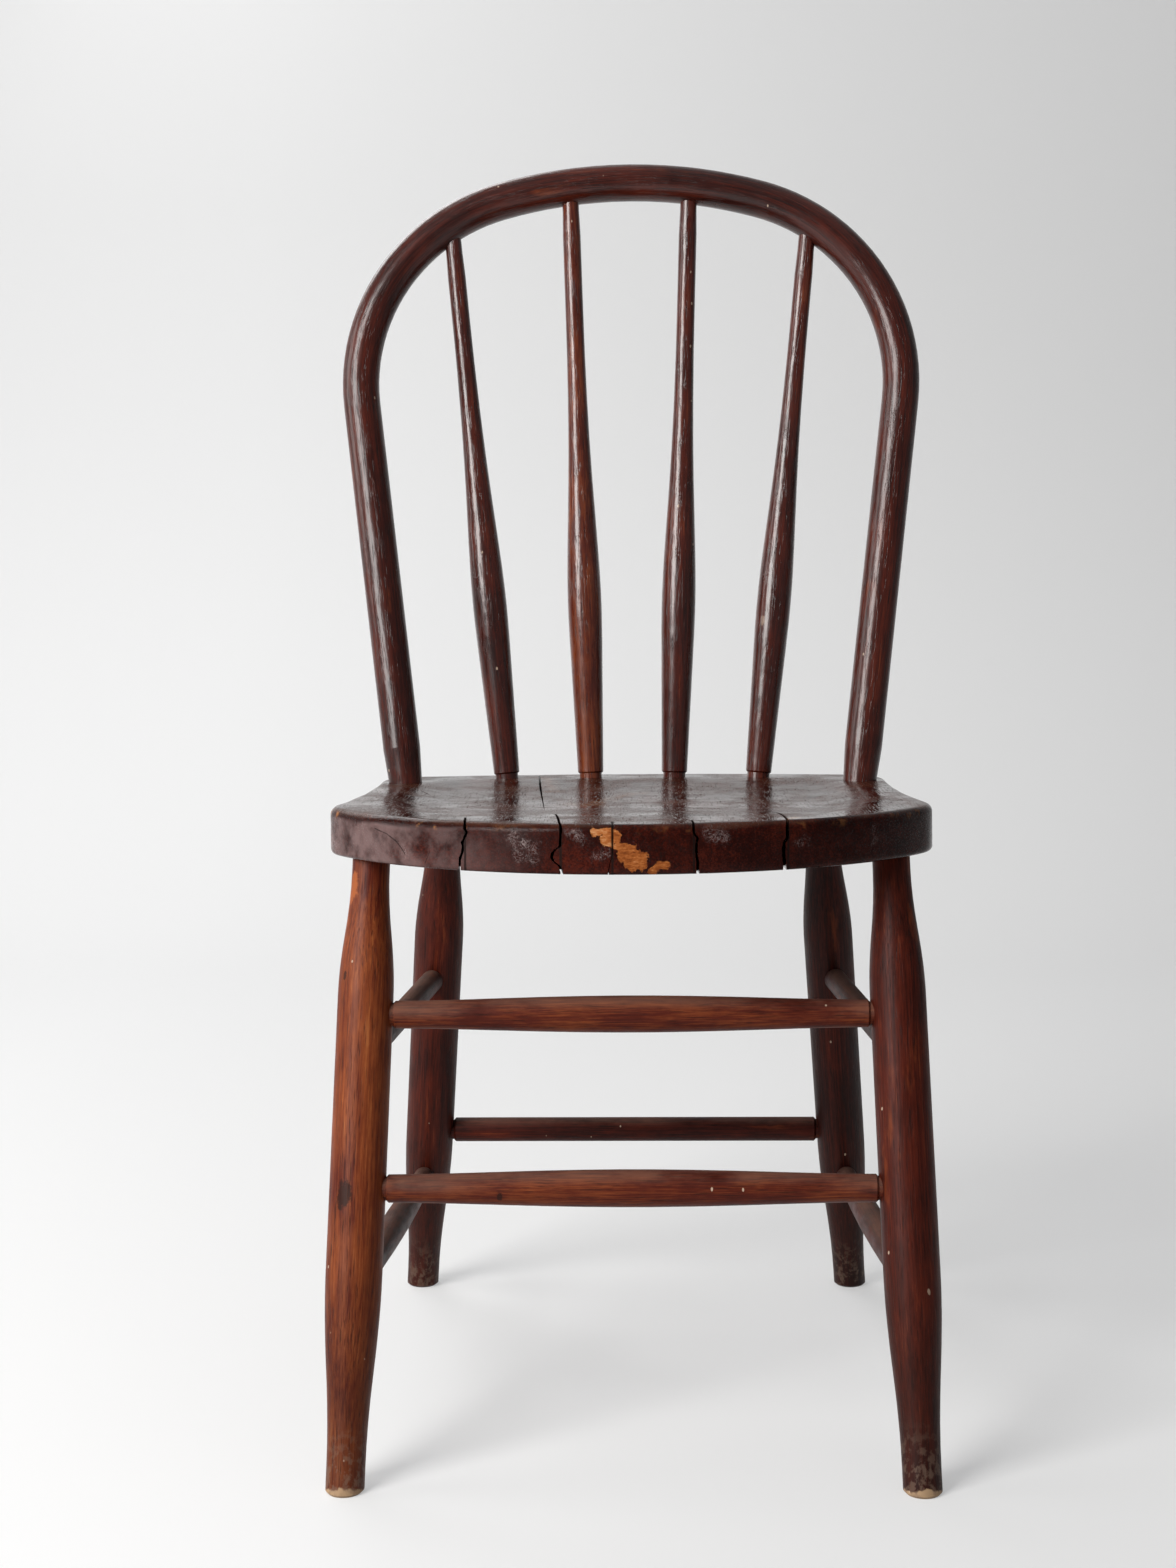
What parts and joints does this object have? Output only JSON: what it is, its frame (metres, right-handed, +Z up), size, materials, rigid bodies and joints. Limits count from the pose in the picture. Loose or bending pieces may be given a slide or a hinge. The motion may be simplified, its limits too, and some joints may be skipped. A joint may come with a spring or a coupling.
{
  "type": "dining chair",
  "caption": "Hoop-back Windsor side chair: dished plank seat on splayed turned legs tied by stretchers, with a bent round bow and turned spindles as its back",
  "frame": {"origin": "on the floor, under the middle of the chair's bounding box, in its left-right mirror plane", "axes": "+Z up, the chair faces -Y, +X to the right seen from the front"},
  "size_m": [0.4496, 0.4623, 0.9022],
  "materials": {
    "seat_plank": "worn satin",
    "turned_underframe": "satin",
    "bent_and_turned_back": "semi-gloss"
  },
  "bodies": {
    "root": {"seat": "seat_plank", "leg_front_left": "turned_underframe", "leg_front_right": "turned_underframe", "leg_back_left": "turned_underframe", "leg_back_right": "turned_underframe", "stretcher_front_upper": "turned_underframe", "stretcher_front_lower": "turned_underframe", "stretcher_back": "turned_underframe", "stretcher_left_upper": "turned_underframe", "stretcher_left_lower": "turned_underframe", "stretcher_right_upper": "turned_underframe", "stretcher_right_lower": "turned_underframe", "bow": "bent_and_turned_back", "bow_wedge_left": "bent_and_turned_back", "bow_wedge_right": "bent_and_turned_back", "spindle_left_outer": "bent_and_turned_back", "spindle_left_inner": "bent_and_turned_back", "spindle_right_inner": "bent_and_turned_back", "spindle_right_outer": "bent_and_turned_back"}
  },
  "joints": []
}
